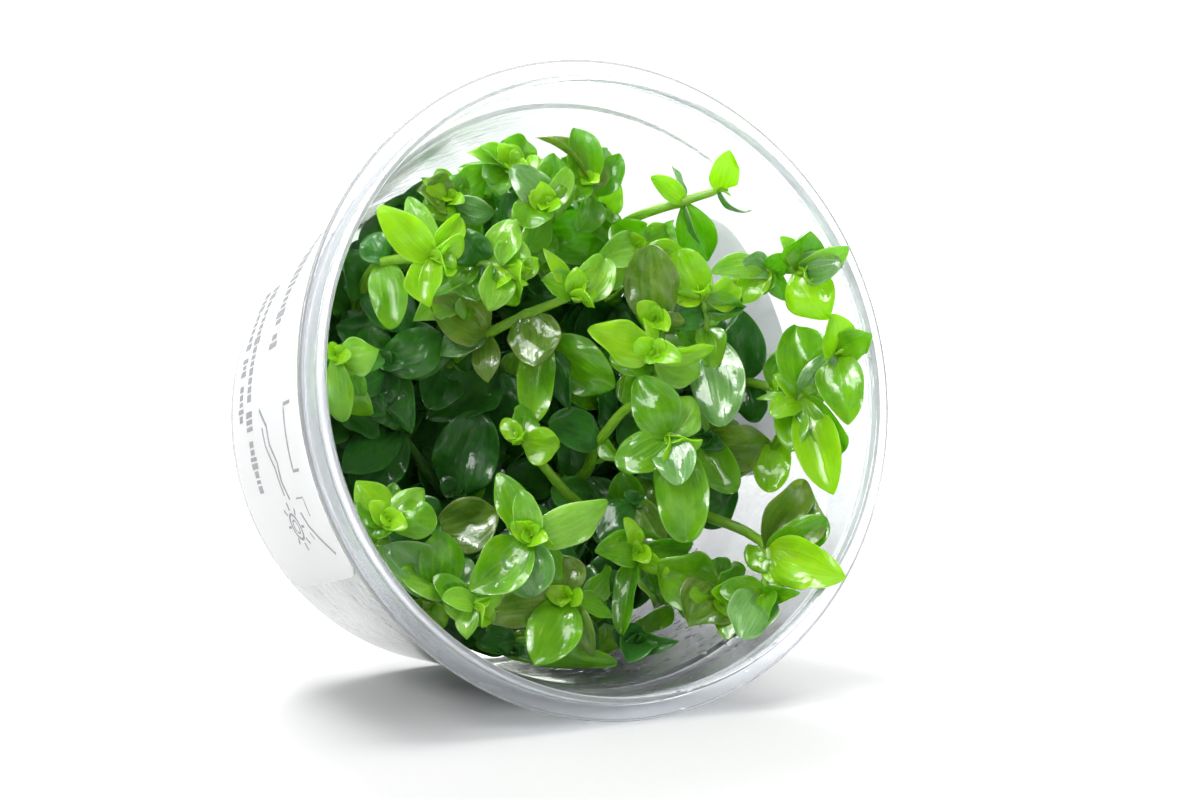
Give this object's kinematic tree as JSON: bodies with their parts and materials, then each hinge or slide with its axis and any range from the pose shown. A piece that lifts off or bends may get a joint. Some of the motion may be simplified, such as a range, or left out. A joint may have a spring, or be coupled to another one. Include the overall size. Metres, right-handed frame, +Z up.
{
  "type": "tissue culture lemon bacopa",
  "caption": "Clear round cup lying on its side, open, packed with small-leaved bright green aquarium plant shoots that stand in clear growing gel, with white labels on its wall.",
  "frame": {"origin": "middle of the bounding box's underside, on the floor that the cup lies on", "axes": "+Z up; the cup lies on its side with its mouth towards -Y and its base towards +Y, its mouth end raised so that its axis climbs about 12 degrees; +X is to the right of a viewer who looks into the mouth"},
  "size_m": [0.1, 0.0744, 0.098],
  "materials": {
    "cup_plastic": "clear, glossy, with a slightly hazy wall",
    "label_paper": "white printed film, satin",
    "gel": "pale, cloudy and wet",
    "leaf_dark": "moist leaf",
    "leaf_green": "moist leaf",
    "leaf_lime": "moist leaf, lit",
    "leaf_olive": "moist leaf",
    "leaf_grey": "moist leaf"
  },
  "bodies": {
    "root": {"back_label": "label_paper", "cup": "cup_plastic", "front_label": "label_paper", "gel": "gel", "shoot_back_right": "leaf_dark", "shoot_back_top": "leaf_dark", "shoot_bottom": "leaf_green", "shoot_bright": "leaf_lime", "shoot_bright_left": "leaf_lime", "shoot_centre": "leaf_green", "shoot_centre_back": "leaf_green", "shoot_dark_centre": "leaf_dark", "shoot_dark_stem": "leaf_dark", "shoot_grey_leaf": "leaf_grey", "shoot_inner": "leaf_dark", "shoot_inner_far": "leaf_dark", "shoot_inner_left": "leaf_dark", "shoot_inner_low": "leaf_dark", "shoot_inner_top": "leaf_dark", "shoot_kite": "leaf_dark", "shoot_left_back": "leaf_dark", "shoot_left_bottom": "leaf_grey", "shoot_left_dark": "leaf_dark", "shoot_left_edge": "leaf_lime", "shoot_left_low": "leaf_green", "shoot_left_middle": "leaf_green", "shoot_left_top": "leaf_olive", "shoot_low_dark": "leaf_dark", "shoot_low_middle": "leaf_green", "shoot_low_right": "leaf_green", "shoot_middle": "leaf_green", "shoot_olive": "leaf_olive", "shoot_olive_low": "leaf_olive", "shoot_right_dark": "leaf_olive", "shoot_right_edge": "leaf_green", "shoot_right_low": "leaf_olive", "shoot_right_stem": "leaf_dark", "shoot_rosette": "leaf_lime", "shoot_small_round": "leaf_green", "shoot_sprig": "leaf_lime", "shoot_strip": "leaf_green", "shoot_top_left": "leaf_green", "shoot_top_middle": "leaf_green", "shoot_top_pale": "leaf_lime", "shoot_top_right": "leaf_olive", "shoot_upper_right": "leaf_green", "shoot_wall_low": "leaf_dark"}
  },
  "joints": []
}
